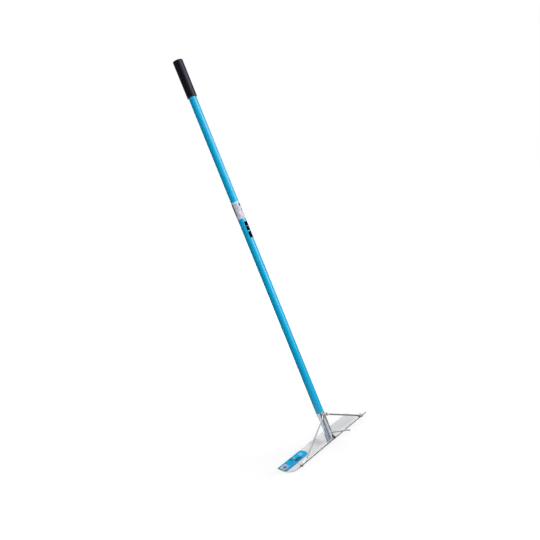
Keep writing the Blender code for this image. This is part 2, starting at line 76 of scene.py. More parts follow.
FIT = 0.0003
BOLT_CLEARANCE = 0.0002
TUBE_WALL = 0.0015
TUBE_ROUND = 0.0004
RIVET_HEIGHTS = (0.0220, 0.0620)  # above the handle's lower end
RIVET_RADIUS = 0.0024
RIVET_HEAD_RADIUS = 0.0048
RIVET_HEAD_HEIGHT = 0.0016

# Blade, as in the solids

BLADE_LENGTH = 0.4950
BLADE_CHORD = 0.1010
BLADE_RISE = 0.0142
BLADE_THICKNESS = 0.0030
BLADE_CORNER = 0.0040
BLADE_TILT = math.radians(4.9)
EDGE_SETBACK = 0.0217
ALONG_CHORD = Vector((0.0, math.cos(BLADE_TILT), math.sin(BLADE_TILT)))
OFF_CHORD = Vector((0.0, -math.sin(BLADE_TILT), math.cos(BLADE_TILT)))
INNER_RADIUS = (BLADE_CHORD**2 / 4 + BLADE_RISE**2) / (2 * BLADE_RISE)
HALF_ARC = math.asin(BLADE_CHORD / 2 / INNER_RADIUS)
ARC_CENTRE = (
    Vector((0.0, -EDGE_SETBACK, EDGE_LEVEL))
    + ALONG_CHORD * BLADE_CHORD / 2
    + OFF_CHORD * (INNER_RADIUS - BLADE_RISE)
)

# Braces and their fasteners, as in the solids

ROD_RADIUS = 0.0030
TAB_WIDTH = 0.0120
TAB_THICKNESS = 0.0026
TAB_FLAT = 0.0110
TAB_FADE = 0.0140
TAB_END = math.radians(78)
BRACE_TOP = EDGE_LEVEL + 0.0980
BRACE_REACH = BLADE_LENGTH / 2 - 0.0295
BRACE_INSET = 0.0090
FOOT_FLAT = 0.0160
KNEE_BACK = 0.0280
KNEE_SETBACK = 0.0017
KNEE_GAP = 0.0046
BRACE_BEND_RADIUS = 0.0140
BOLT_RADIUS = 0.0025
BOLT_HEAD_RADIUS = 0.0055
BOLT_HEAD_HEIGHT = 0.0026
BOLT_SHOW = 0.0022
NUT_ACROSS = 0.0080
NUT_HEIGHT = 0.0040
WASHER_RADIUS = 0.0050
WASHER_THICKNESS = 0.0010
TAB_SAG = (TAB_WIDTH / 2) ** 2 / (2 * INNER_RADIUS)  # under the middle of a flat tab on the round blade

# Hook, as in the solids

HOOK_RADIUS = 0.0030
HOOK_TIP_RADIUS = 0.0036
HOOK_SWELL = 0.0050
HOOK_LEVEL = EDGE_LEVEL + 0.0220
HOOK_REACH = 0.0900
HOOK_TIP = 0.0150
HOOK_TIP_ANGLE = math.radians(8.0)
HOOK_BEND_RADIUS = 0.0120
HOOK_ROUND = 0.0012

# Shapes that only this script has

TUBE_SIDES = 96
FOOT_WELD_LEG, FOOT_WELD_RIPPLES = 0.0042, 60
HOOK_WELD_LEG, HOOK_WELD_RIPPLES = 0.0032, 18
RIPPLE_STEPS = 5
THREAD_SIDES = 24
THREAD_PITCH = 0.0008
THREAD_DEPTH = 0.0003
BOLT_RECESS = 0.0017
LABEL_LIFT, LABEL_THICKNESS, LABEL_CORNER = 0.00002, 0.00012, 0.0015
LABEL_SPAN = (0.911, 0.980)  # above the blade's top edge
LABEL_SHARE = 0.93  # of the tube's girth
LABEL_BEARING = -139.3  # in degrees from +X
PRINT_LIFT, PRINT_THICKNESS, PRINT_CORNER = 0.00001, 0.00004, 0.0016
PRINT_BEARINGS = (-124.0, -46.0)
PRINT_ROWS = ((0.8880, 0.0172), (0.8690, 0.0176), (0.8440, 0.0256))  # middle above the blade's edge, height
STICKER_LIFT, STICKER_THICKNESS = 0.0001, 0.00006
STICKER_SPAN = (0.0600, 0.1005)  # from the blade's top edge
STICKER_LENGTH = 0.1530
STICKER_MIDDLE = -0.1700
STICKER_CORNERS = (0.0020, 0.0020, 0.0150, 0.0260)

# Camera: where the photographer stood, and how the camera was held

EYE = Vector((-2.0394, -1.7519, -0.7572))
CAMERA_BEARING = math.radians(40.073)  # from +X towards +Y
CAMERA_RISE = math.radians(-0.876)
CAMERA_ROLL = math.radians(22.049)
CAMERA_LENS = 46.67


def arc_angle(inset):
    """The blade's angle from the middle of its arc, at a distance along the chord from the top edge."""
    return math.asin((inset - BLADE_CHORD / 2) / INNER_RADIUS)


def on_arc(angle, radius, x=0.0):
    """A point at this angle from the middle of the arc, at this distance from its centre."""
    place = ARC_CENTRE + radius * (math.sin(angle) * ALONG_CHORD - math.cos(angle) * OFF_CHORD)
    return Vector((x, place.y, place.z))


def face_height(y, lift):
    """Height of the blade's inner face at y, with a lift off the face."""
    return ARC_CENTRE.z - math.sqrt((INNER_RADIUS - lift) ** 2 - (y - ARC_CENTRE.y) ** 2)


def foot_seat(side, lift=0.0):
    """A point on the line of a foot bolt, at a lift off the blade's inner face."""
    return on_arc(arc_angle(BRACE_INSET), INNER_RADIUS - lift, side * BRACE_REACH)


FOOT_AXIS = (ARC_CENTRE - on_arc(arc_angle(BRACE_INSET), INNER_RADIUS)).normalized()

# Mesh tools


def take(piece):
    """Leaves this piece alone selected, and makes it the active one."""
    bpy.ops.object.select_all(action="DESELECT")
    piece.select_set(True)
    bpy.context.view_layer.objects.active = piece


def named(name):
    """The new piece, with its name."""
    piece = bpy.context.object
    piece.name = name
    piece.data.name = name
    return piece


def settle(piece, matrix=None):
    """Moves a piece by a matrix if one is given, and puts its place into its mesh."""
    if matrix:
        piece.matrix_world = matrix @ piece.matrix_world
    take(piece)
    bpy.ops.object.transform_apply(location=True, rotation=True, scale=True)


def edit(piece):
    """Opens a mesh for editing, with all of it selected."""
    take(piece)
    bpy.ops.object.mode_set(mode="EDIT")
    bpy.ops.mesh.select_mode(type="VERT")
    bpy.ops.mesh.select_all(action="SELECT")


def modify(piece, kind, **settings):
    """Adds a modifier with these settings, and applies it."""
    take(piece)
    modifier = piece.modifiers.new(kind.lower(), kind)
    for key, value in settings.items():
        setattr(modifier, key, value)
    bpy.ops.object.modifier_apply(modifier=modifier.name)


def cut(piece, tool, operation="DIFFERENCE"):
    """Cuts a piece with a tool, which is then thrown away."""
    modify(piece, "BOOLEAN", operation=operation, object=tool, solver="EXACT")
    bpy.data.objects.remove(tool, do_unlink=True)


def aimed(axis, seat):
    """The turn and place that put a shape's Z along an axis, with its zero at the seat."""
    return Matrix.Translation(seat) @ axis.normalized().to_track_quat("Z", "Y").to_matrix().to_4x4()


def rod_tool(radius, low, high, matrix=None, sides=32):
    """A drill or a punch, to cut with."""
    place = (0.0, 0.0, (low + high) / 2)
    bpy.ops.mesh.primitive_cylinder_add(vertices=sides, radius=radius, depth=high - low, location=place)
    tool = named("tool")
    settle(tool)
    settle(tool, matrix)
    return tool


def bolt_hole(piece, axis, seat, reach):
    """Bores a piece for a bolt, as far as the reach each way from the seat."""
    cut(piece, rod_tool(BOLT_RADIUS + BOLT_CLEARANCE, -reach, reach, aimed(axis, seat)))


def draw_out(name, rings, closed=False):
    """A circle drawn out from ring to ring by extruding. Closed rings end on the first, as in a tube."""
    fill = "NOTHING" if closed else "NGON"
    bpy.ops.mesh.primitive_circle_add(vertices=len(rings[0]), radius=0.01, fill_type=fill)
    piece = named(name)
    edit(piece)
    before = None
    for ring in rings + (rings[:1] if closed else []):
        if before:
            bpy.ops.mesh.extrude_region_move()
        bm = bmesh.from_edit_mesh(piece.data)
        corners = [corner for corner in bm.verts if corner.select]
        if before:
            tree = KDTree(len(before))
            for number, point in enumerate(before):
                tree.insert(point, number)
            tree.balance()
            for corner in corners:
                corner.co = ring[tree.find(corner.co)[1]]
        else:
            for corner, point in zip(corners, ring):
                corner.co = point
        bmesh.update_edit_mesh(piece.data)
        before = ring
    bpy.ops.mesh.select_all(action="SELECT")
    bpy.ops.mesh.remove_doubles(threshold=1e-6)
    bpy.ops.mesh.normals_make_consistent(inside=False)
    bpy.ops.object.mode_set(mode="OBJECT")
    return piece


def circle(radius, height, sides):
    """A level ring of points about the Z axis."""
    turns = [2 * math.pi * i / sides for i in range(sides)]
    return [Vector((radius * math.cos(angle), radius * math.sin(angle), height)) for angle in turns]


def turn(name, profile, sides, closed=False):
    """A piece turned about Z, from pairs of radius and height."""
    return draw_out(name, [circle(radius, height, sides) for radius, height in profile], closed)


def quarter(radius, height, size, start, steps=4):
    """A rounded corner of a turned outline: a quarter turn from an angle in degrees, about its own centre."""
    turns = [math.radians(start + 90.0 * i / steps) for i in range(steps + 1)]
    return [(radius + size * math.cos(angle), height + size * math.sin(angle)) for angle in turns]


def finish(piece, material, slot, *nodes, smooth=35.0):
    """Hands a piece over: its material, its smooth shading, its body and the solids that it stands for."""
    piece.data.materials.clear()
    piece.data.materials.append(material)
    settle(piece)
    bpy.ops.object.shade_smooth_by_angle(angle=math.radians(smooth))
    modify(piece, "WEIGHTED_NORMAL", mode="FACE_AREA", keep_sharp=True)
    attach(piece, "root")
    if nodes:
        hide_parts(*nodes)


def curved_sheet(name, width, height, radius, rows, columns, thickness, corners):
    """A thin sheet bent about Z, outside the radius. Its middle faces -Y, and its own map runs across and up.

    The corners are the sizes of its rounded corners: low left, low right, high right and high left.
    """
    bpy.ops.mesh.primitive_plane_add(size=1.0, rotation=(math.pi / 2, 0.0, 0.0))
    piece = named(name)
    settle(piece, Matrix.Diagonal((width, 1.0, height, 1.0)))
    edit(piece)
    for (right, up), size in zip(((-1, -1), (1, -1), (1, 1), (-1, 1)), corners):
        spot = Vector((right * width / 2, 0.0, up * height / 2))
        bm = bmesh.from_edit_mesh(piece.data)
        for corner in bm.verts:
            corner.select_set((corner.co - spot).length < 1e-5)
        bm.select_flush_mode()
        bmesh.update_edit_mesh(piece.data)
        bpy.ops.mesh.bevel(offset=size, segments=8, affect="VERTICES")
    for axis, size, parts in ((RIGHT, width, columns), (UP, height, rows)):
        for i in range(1, parts):
            bpy.ops.mesh.select_all(action="SELECT")
            bpy.ops.mesh.bisect(plane_co=axis * (size * (i / parts - 0.5)), plane_no=axis)
    bpy.ops.object.mode_set(mode="OBJECT")
    modify(piece, "SIMPLE_DEFORM", deform_method="BEND", deform_axis="Z", angle=width / radius)
    settle(piece, Matrix.Translation((0.0, -radius, 0.0)))
    modify(piece, "SOLIDIFY", thickness=thickness, offset=1.0)
    return piece


# Handle, grip and what is stuck or printed on the handle


def make_handle(paint):
    low, high, wall = HANDLE_LOW.z, HANDLE_HIGH.z, TUBE_RADIUS - TUBE_WALL
    inner = TUBE_RADIUS - TUBE_ROUND
    outline = [
        *quarter(inner, low + TUBE_ROUND, TUBE_ROUND, -90),
        *quarter(inner, high - TUBE_ROUND, TUBE_ROUND, 0),
        (wall, high),
        (wall, low),
    ]
    handle = turn("painted_handle", outline, TUBE_SIDES, closed=True)
    for height in RIVET_HEIGHTS:
        hole = aimed(BACK, UP * (low + height))
        cut(handle, rod_tool(RIVET_RADIUS + BOLT_CLEARANCE, 0.008, 0.020, hole))
    finish(handle, paint, "blue_paint", "handle_tube")


def make_grip(rubber):
    """A closed rubber sleeve with a rolled lip at its open end and a rounded rim at its closed end."""
    inside, low, high = TUBE_RADIUS + FIT, GRIP_LOW.z, GRIP_HIGH.z
    body, end = inside + 0.0030, inside + 0.0037
    profile = [
        (inside - 0.001, high - 0.0040),
        (inside, high - 0.0045),
        (inside, low),
        (body - 0.0004, low),
        *quarter(body, low + 0.0006, 0.0006, -90, 3),
        *quarter(body + 0.0002, low + 0.0032, 0.0004, 0, 3),
        (body, low + 0.0044),
        (body, low + 0.0060),
        ((body + end) / 2, (low + high) / 2),
        *quarter(end - 0.0030, high - 0.0030, 0.0030, 0, 8),
        *((end - 0.0060, high), (end - 0.0068, high - 0.0003), (0.0020, high - 0.0003)),
    ]
    finish(turn("sleeve_grip", profile, TUBE_SIDES), rubber, "black_rubber", "rubber_grip")


def wrap(sheet, bearing, height):
    """Turns a bent sheet to a bearing in degrees, at a height on the tube."""
    settle(sheet, Matrix.Rotation(math.radians(bearing + 90.0), 4, "Z") @ Matrix.Translation(UP * height))


def make_label(paper):
    """A wrapped label, with plain bars in place of words and a band of painted shade."""
    low, high = (EDGE_LEVEL + height for height in LABEL_SPAN)
    radius = TUBE_RADIUS + LABEL_LIFT
    size = (2 * math.pi * radius * LABEL_SHARE, high - low)
    label = curved_sheet("wrap_label", *size, radius, 6, 80, LABEL_THICKNESS, [LABEL_CORNER] * 4)
    wrap(label, LABEL_BEARING, (low + high) / 2)
    finish(label, paper, "blue_paint")


def make_print(ink):
    """Three plain dark bars printed on the paint under the label."""
    radius, corners = TUBE_RADIUS + PRINT_LIFT, [PRINT_CORNER] * 4
    width = math.radians(PRINT_BEARINGS[1] - PRINT_BEARINGS[0]) * radius
    for number, (height, size) in enumerate(PRINT_ROWS):
        name = f"print_bar_{number + 1}"
        bar = curved_sheet(name, width, size, radius, 2, 18, PRINT_THICKNESS, corners)
        wrap(bar, sum(PRINT_BEARINGS) / 2, EDGE_LEVEL + height)
        finish(bar, ink, "black_rubber")


def make_rivets(zinc):
    """Domed blind rivet heads, each with the dimple that its mandrel leaves."""
    head = TUBE_RADIUS + FIT
    bulb = head - 2 * FIT - TUBE_WALL - 0.0020 - FIT
    high = head + RIVET_HEAD_HEIGHT
    dimple = [(0.0006, high - 0.0009), (0.0011, high - 0.0008), (0.0013, high - 0.0001), (0.0017, high)]
    dome = [(0.0024, high - 0.0001), (0.0036, high - 0.0005), (0.0045, high - 0.0011)]
    rim = [(RIVET_HEAD_RADIUS, high - 0.0014), (RIVET_HEAD_RADIUS, head), (RIVET_RADIUS, head)]
    swell = [(RIVET_RADIUS, bulb), (0.0034, bulb - 0.0006), (0.0034, bulb - 0.0030)]
    profile = [*dimple, *dome, *rim, *swell, (RIVET_RADIUS, bulb - 0.0050)]
    for name, height in zip(("lower", "upper"), RIVET_HEIGHTS):
        rivet = turn("blind_rivet_" + name, profile, 40)
        settle(rivet, aimed(BACK, UP * (HANDLE_LOW.z + height)))
        finish(rivet, zinc, "zinc_steel", "handle_rivet_" + name)


def make_socket(steel):
    """The tube under the handle, with its foot cut to the hollow of the blade."""
    wall, inner, high = TUBE_RADIUS - TUBE_WALL, TUBE_RADIUS - TUBE_ROUND, SOCKET_HIGH.z
    low = face_height(ARC_CENTRE.y, 0.0)
    corner = quarter(inner, high - TUBE_ROUND, TUBE_ROUND, 0)
    outline = [(TUBE_RADIUS, low), *corner, (wall, high), (wall, low)]
    socket = turn("saddled_socket", outline, TUBE_SIDES, closed=True)
    hollow = rod_tool(INNER_RADIUS - FIT, -0.05, 0.05, aimed(RIGHT, ARC_CENTRE), 256)
    cut(socket, hollow, "INTERSECT")
    bolt_hole(socket, BACK, UP * BRACE_TOP, 0.03)
    finish(socket, steel, "zinc_steel", "socket_tube")


# Blade and its sticker


def blade_frame(angle, x=0.0):
    """Turns a sheet that was bent about Z so that it lies in the blade's arc, concentric with it."""
    out = (math.sin(angle) * ALONG_CHORD - math.cos(angle) * OFF_CHORD).normalized()
    onward = (math.cos(angle) * ALONG_CHORD + math.sin(angle) * OFF_CHORD).normalized()
    turned = Matrix((onward, -out, onward.cross(-out))).transposed().to_4x4()
    return Matrix.Translation(ARC_CENTRE + RIGHT * x) @ turned


def make_blade(sheet):
    size = (2 * HALF_ARC * INNER_RADIUS, BLADE_LENGTH)
    blade = curved_sheet("bent_blade", *size, INNER_RADIUS, 20, 40, BLADE_THICKNESS, [BLADE_CORNER] * 4)
    settle(blade, blade_frame(0.0))
    sharp = math.radians(50)
    modify(blade, "BEVEL", width=0.0004, segments=2, limit_method="ANGLE", angle_limit=sharp)
    for side, _ in SIDES:
        bolt_hole(blade, FOOT_AXIS, foot_seat(side), 0.01)
    finish(blade, sheet, "aluminium_sheet", "blade")


def make_sticker(film):
    """A long sticker in the hollow of the blade, at one end, with a plain design and a painted highlight."""
    first, last = (arc_angle(inset) for inset in STICKER_SPAN)
    radius = INNER_RADIUS - STICKER_LIFT
    size = ((last - first) * radius, STICKER_LENGTH)
    sticker = curved_sheet("blade_sticker", *size, radius, 10, 12, STICKER_THICKNESS, STICKER_CORNERS)
    settle(sticker, blade_frame((first + last) / 2, STICKER_MIDDLE))
    finish(sticker, film, "aluminium_sheet")


# Welds


def lay_bead(name, ripples, legs_at, metal, node):
    """A rippled bead along a closed seam. Its legs at an angle run from their corner, up and out."""
    rings = []
    for i in range(ripples * RIPPLE_STEPS):
        angle = 2 * math.pi * i / (ripples * RIPPLE_STEPS)
        low, up, out = legs_at(angle, 1.0 - 0.16 * abs(math.sin(math.pi * i / RIPPLE_STEPS)))
        ring = [low]
        for step in range(7):
            lean = math.radians(90.0 * step / 6)
            swell = 0.72 + 0.28 * abs(math.cos(2 * lean))
            ring.append(low + (up - low) * math.cos(lean) * swell + (out - low) * math.sin(lean) * swell)
        rings.append(ring)
    finish(draw_out(name, rings, closed=True), metal, "zinc_steel", node, smooth=60.0)


def make_foot_weld(metal):
    """A bead round the socket's foot, laid in the hollow of the blade."""
    wall = TUBE_RADIUS + FIT / 2

    def legs_at(angle, pulse):
        leg = FOOT_WELD_LEG * (pulse + 0.05 * math.sin(angle * 7))
        way = Vector((math.cos(angle), math.sin(angle), 0.0))
        low, out = wall * way, (wall + leg) * way
        low.z, out.z = face_height(low.y, FIT / 2), face_height(out.y, FIT / 2)
        return low, low + UP * leg, out

    lay_bead("foot_bead", FOOT_WELD_RIPPLES, legs_at, metal, "foot_weld")


def make_hook_weld(metal):
    """A small bead round the hook's root, on the socket's round front."""
    inner, wall = HOOK_RADIUS + FIT / 2, TUBE_RADIUS + FIT / 2

    def on_tube(angle, radius):
        place = Vector((math.cos(angle), 0.0, math.sin(angle))) * radius
        place.y = -math.sqrt(wall**2 - place.x**2)
        place.z += HOOK_LEVEL
        return place

    def legs_at(angle, pulse):
        leg = HOOK_WELD_LEG * pulse
        low = on_tube(angle, inner)
        return low, low - BACK * leg, on_tube(angle, inner + leg)

    lay_bead("hook_bead", HOOK_WELD_RIPPLES, legs_at, metal, "hook_weld")


# Hook


def make_hook(rod):
    """A round bar that stands out of the socket's front. Its swelled tip turns down a little."""
    half_bend = HOOK_BEND_RADIUS * HOOK_TIP_ANGLE / 2
    start = -HOOK_REACH + half_bend
    stations = [(Vector((0.0, -(TUBE_RADIUS + FIT), HOOK_LEVEL)), 0.0, HOOK_RADIUS)]
    for i in range(9):
        angle = HOOK_TIP_ANGLE * i / 8
        drop = Vector((0.0, -math.sin(angle), math.cos(angle) - 1.0)) * HOOK_BEND_RADIUS
        stations.append((Vector((0.0, start, HOOK_LEVEL)) + drop, angle, HOOK_RADIUS))
    last = stations[-1][0]
    way = Vector((0.0, -math.cos(HOOK_TIP_ANGLE), -math.sin(HOOK_TIP_ANGLE)))
    straight = HOOK_TIP - half_bend
    for i in range(1, 9):
        radius = HOOK_RADIUS + (HOOK_TIP_RADIUS - HOOK_RADIUS) * ease(i / 8)
        stations.append((last + way * HOOK_SWELL * i / 8, HOOK_TIP_ANGLE, radius))
    for i in range(7):
        angle = math.radians(15 * i)
        length = straight - HOOK_ROUND * (1 - math.sin(angle))
        radius = HOOK_TIP_RADIUS - HOOK_ROUND * (1 - math.cos(angle))
        stations.append((last + way * length, HOOK_TIP_ANGLE, radius))
    rings = []
    spins = [2 * math.pi * i / 40 for i in range(40)]
    for place, angle, radius in stations:
        up = Vector((0.0, -math.sin(angle), math.cos(angle)))
        rings.append([place + radius * (math.cos(spin) * RIGHT + math.sin(spin) * up) for spin in spins])
    finish(draw_out("bar_hook", rings), rod, "zinc_steel", "mesh_hook")


# Braces


def ease(share):
    """From 0 to 1, slow at both ends."""
    return (1 - math.cos(math.pi * min(max(share, 0.0), 1.0))) / 2


def flat_ring(place, first, second, half_first, half_second, flatness):
    """A ring that runs from round, at flatness 0, to a bar with rounded corners, at flatness 1."""
    power = 2 / (2 + 3 * flatness)
    ring = []
    for i in range(32):
        angle = 2 * math.pi * (i + 0.5) / 32
        c, s = math.cos(angle), math.sin(angle)
        a = math.copysign(abs(c) ** power, c) * half_first
        b = math.copysign(abs(s) ** power, s) * half_second
        ring.append(place + a * first + b * second)
    return ring


def bend(before, corner, after, steps=10):
    """(place, heading) at even turns round a bend between two straight runs."""
    first = (corner - before).normalized()
    second = (after - corner).normalized()
    angle = first.angle(second)
    axis = first.cross(second).normalized()
    start = corner - first * BRACE_BEND_RADIUS * math.tan(angle / 2)
    centre = start + axis.cross(first) * BRACE_BEND_RADIUS
    turns = [Matrix.Rotation(angle * i / steps, 3, axis) for i in range(steps + 1)]
    return [(centre + spin @ (start - centre), spin @ first) for spin in turns]


def brace_rings(side, top_y):
    """A brace's sections: its upper tab, the rod, two bends down over the blade's edge, and the foot tab."""
    half_wide, half_thin = TAB_WIDTH / 2, TAB_THICKNESS / 2
    sideways = side * RIGHT
    inward = FOOT_AXIS.cross(RIGHT).normalized()
    hole = foot_seat(side, FIT + TAB_SAG + half_thin)
    toe = hole - sideways * FOOT_FLAT
    knee_x = side * (BRACE_REACH - KNEE_BACK)
    knee = Vector((knee_x, KNEE_SETBACK - EDGE_SETBACK, EDGE_LEVEL + ROD_RADIUS + KNEE_GAP))
    top = Vector((0.0, top_y, BRACE_TOP))
    way = (knee - top).normalized()

    def section(place, heading, on_blade, flatness, width=1.0):
        """The tab's flat side faces the socket at the top, and the blade at the foot."""
        first = inward if on_blade else BACK
        first = (first - heading * first.dot(heading)).normalized()
        second = heading.cross(first).normalized()
        thin = ROD_RADIUS + (half_thin - ROD_RADIUS) * flatness
        wide = (ROD_RADIUS + (half_wide - ROD_RADIUS) * flatness) * width
        halves = (wide, thin) if on_blade else (thin, wide)
        return flat_ring(place, first, second, *halves, flatness)

    rings = []
    for step in range(9):
        angle = TAB_END * (1 - step / 8)
        rings.append(section(top - way * half_wide * math.sin(angle), way, False, 1.0, math.cos(angle)))
    rings.append(section(top + way * TAB_FLAT, way, False, 1.0))
    for step in range(1, 11):
        place = top + way * (TAB_FLAT + TAB_FADE * step / 10)
        rings.append(section(place, way, False, 1 - ease(step / 10)))
    upper = bend(top, knee, toe)
    lower = bend(knee, toe, hole)
    straight = lower[0][0] - upper[-1][0]
    run = [(upper[-1][0] + straight * i / 6, straight.normalized()) for i in range(1, 6)]
    start = upper[0][0].x
    fade = lower[0][0].x - start
    for place, heading in upper + run + lower:
        rings.append(section(place, heading, True, ease((place.x - start) / fade)))
    for step in range(9):
        angle = TAB_END * step / 8
        place = hole + sideways * half_wide * math.sin(angle)
        rings.append(section(place, sideways, True, 1.0, math.cos(angle)))
    return rings


def make_braces(rod):
    """Two braces, flattened and drilled at both ends. Their upper tabs lie one on the other."""
    for layer, (side, word) in enumerate(SIDES):
        depth = TUBE_RADIUS + FIT + TAB_THICKNESS / 2 + layer * (TAB_THICKNESS + FIT)
        brace = draw_out("rod_brace_" + word, brace_rings(side, -depth))
        bolt_hole(brace, BACK, UP * BRACE_TOP, 0.03)
        bolt_hole(brace, FOOT_AXIS, foot_seat(side), 0.01)
        finish(brace, rod, "zinc_steel", "brace_" + word)


# Bolts, nuts and washers


def make_bolt(name, grip):
    """A button-headed bolt with a hex recess. Its thread shows past the nut."""
    length = grip + BOLT_SHOW
    head = ((0.30, 1.0), (0.50, 0.96), (0.72, 0.80), (0.90, 0.52), (0.99, 0.20), (1.0, 0.08), (0.97, 0.0))
    profile = [(BOLT_HEAD_RADIUS * across, -BOLT_HEAD_HEIGHT * up) for across, up in head]
    rings = [circle(radius, height, THREAD_SIDES) for radius, height in profile + [(BOLT_RADIUS, 0.0)]]
    height = length - BOLT_SHOW - NUT_HEIGHT
    while height < length - 0.0004:
        fade = min(1.0, (length - height) / 0.0010)
        ring = []
        for i, point in enumerate(circle(1.0, height, THREAD_SIDES)):
            phase = (height / THREAD_PITCH - i / THREAD_SIDES) % 1.0
            radius = (BOLT_RADIUS - THREAD_DEPTH * abs(2 * phase - 1)) * (0.8 + 0.2 * fade)
            ring.append(Vector((point.x * radius, point.y * radius, height)))
        rings.append(ring)
        height += THREAD_PITCH / 6
    rings.append(circle(BOLT_RADIUS * 0.74, length - 0.0001, THREAD_SIDES))
    rings.append(circle(BOLT_RADIUS * 0.66, length, THREAD_SIDES))
    bolt = draw_out(name, rings)
    cut(bolt, rod_tool(BOLT_RECESS, -BOLT_HEAD_HEIGHT - 0.001, -BOLT_HEAD_HEIGHT + 0.0014, sides=6))
    return bolt


def make_nut(name):
    """A hex nut: a turned blank with both faces chamfered, cut to six sides and bored."""
    corner = NUT_ACROSS / 2 / math.cos(math.radians(30))
    flat = NUT_ACROSS / 2 * 0.96
    chamfer = (corner - flat) * 0.5
    rim = [(corner + 0.0001, chamfer), (corner + 0.0001, NUT_HEIGHT - chamfer)]
    nut = turn(name, [(flat, 0.0), *rim, (flat, NUT_HEIGHT)], 60)
    cut(nut, rod_tool(corner, -0.001, NUT_HEIGHT + 0.001, sides=6), "INTERSECT")
    cut(nut, rod_tool(BOLT_RADIUS + BOLT_CLEARANCE, -0.002, NUT_HEIGHT + 0.002))
    return nut


def make_washer(name):
    """A flat washer with rounded rims."""
    bore, size = BOLT_RADIUS + BOLT_CLEARANCE, 0.0002
    outline = [
        (bore, 0.0),
        *quarter(WASHER_RADIUS - size, size, size, -90, 3),
        *quarter(WASHER_RADIUS - size, WASHER_THICKNESS - size, size, 0, 3),
        (bore, WASHER_THICKNESS),
    ]
    return turn(name, outline, 48, closed=True)


def fasten(name, node, axis, seat, lifts, zinc):
    """A bolt, a washer and a nut on one axis. The seat of each lies at its lift."""
    bolt = make_bolt(name.format("bolt"), lifts[2] - lifts[0] + NUT_HEIGHT)
    pieces = (bolt, make_washer(name.format("washer")), make_nut(name.format("nut")))
    for kind, piece, lift in zip(("bolt", "washer", "nut"), pieces, lifts):
        settle(piece, aimed(axis, seat(lift)))
        finish(piece, zinc, "zinc_steel", node.format(kind))


def make_fasteners(zinc):
    behind = TUBE_RADIUS + FIT
    front = TUBE_RADIUS + 3 * FIT + 2 * TAB_THICKNESS
    lifts = (-front, behind, behind + WASHER_THICKNESS + FIT)
    fasten("top_{}", "brace_top_{}", BACK, lambda lift: UP * BRACE_TOP + BACK * lift, lifts, zinc)
    on_tab = 2 * FIT + TAB_SAG + TAB_THICKNESS
    lifts = (-BLADE_THICKNESS - FIT, on_tab, on_tab + WASHER_THICKNESS + FIT)
    for side, word in SIDES:
        names = ("foot_{}_" + word, "brace_{}_" + word)
        fasten(*names, FOOT_AXIS, lambda lift: foot_seat(side, lift), lifts, zinc)


# Material building


EVEN = (1.0, 1.0, 1.0)


def feed(socket, value):
    """Links an output to a socket, or sets the socket to a plain value."""
    if isinstance(value, bpy.types.NodeSocket):
        socket.id_data.links.new(value, socket)
    elif socket.type == "RGBA" and len(value) == 3:
        socket.default_value = (*value, 1.0)
    else:
        socket.default_value = value


def add_node(kind, inputs, tree=None, **settings):
    """A node with links or plain values on its inputs, in the given tree or in that of its links."""
    if not tree:
        tree = next(value.id_data for value in inputs.values() if isinstance(value, bpy.types.NodeSocket))
    node = tree.nodes.new("ShaderNode" + kind)
    for key, value in settings.items():
        setattr(node, key, value)
    for key, value in inputs.items():
        feed(node.inputs[key], value)
    return node


def math_of(operation, first, second=0.0, third=0.0, clamp=False):
    inputs = {0: first, 1: second, 2: third}
    return add_node("Math", inputs, operation=operation, use_clamp=clamp).outputs[0]


def times(first, second):
    return math_of("MULTIPLY", first, second)


def plus(first, second):
    return math_of("ADD", first, second)


def map_range(value, start, end, low=0.0, high=1.0):
    """A value carried from one range to another, and held at its ends."""
    inputs = {"Value": value, "From Min": start, "From Max": end, "To Min": low, "To Max": high}
    return add_node("MapRange", inputs).outputs[0]


def between(value, low, high, blur):
    """1 where a value lies between low and high, falling to 0 over the blur outside them."""
    rise = map_range(value, low - blur, low)
    return times(rise, map_range(value, high + blur, high))


def spread(share, low, high):
    """A value from low to high, as a share runs from 0 to 1."""
    return map_range(share, 0.0, 1.0, low, high)


def ramp_of(value, stops):
    """A value passed through a line of (place, height) stops."""
    node = add_node("FloatCurve", {"Value": value})
    curve = node.mapping.curves[0]
    for point, (place, height) in zip(curve.points, (stops[0], stops[-1])):
        point.location = (place, height)
        point.handle_type = "VECTOR"
    for place, height in stops[1:-1]:
        curve.points.new(place, height).handle_type = "VECTOR"
    node.mapping.update()
    return node.outputs[0]


def mixed(share, first, second):
    """Two colours mixed, with the second one's share."""
    inputs = {0: share, 6: first, 7: second}  # 6 and 7 are its inputs for colours
    return add_node("Mix", inputs, data_type="RGBA").outputs[2]


def tinted(base, mask, share, colour):
    """The base with a share of a colour on it where the mask is 1."""
    return mixed(times(mask, share), base, colour)


def parts_of(vector):
    """The X, Y and Z of a vector."""
    return add_node("SeparateXYZ", {0: vector}).outputs


def new_group(name, **inputs):
    """A shader node group with these inputs and one value out, and its inner ends."""
    tree = bpy.data.node_groups.new(name, "ShaderNodeTree")
    for word, value in inputs.items():
        kind = "NodeSocketVector" if isinstance(value, tuple) else "NodeSocketFloat"
        tree.interface.new_socket(word, in_out="INPUT", socket_type=kind).default_value = value
    tree.interface.new_socket("Value", in_out="OUTPUT", socket_type="NodeSocketFloat")
    return tree, tree.nodes.new("NodeGroupInput").outputs, tree.nodes.new("NodeGroupOutput").inputs


def drawn_noise(ends, detail):
    """A group's noise about 0, drawn out along the axes by its stretch."""
    inputs = {0: ends["Place"], 1: ends["Stretch"]}
    drawn = add_node("VectorMath", inputs, operation="MULTIPLY").outputs[0]
    inputs = {"Vector": drawn, "Scale": ends["Scale"], "Detail": detail}
    return math_of("SUBTRACT", add_node("TexNoise", inputs).outputs[0], 0.5)


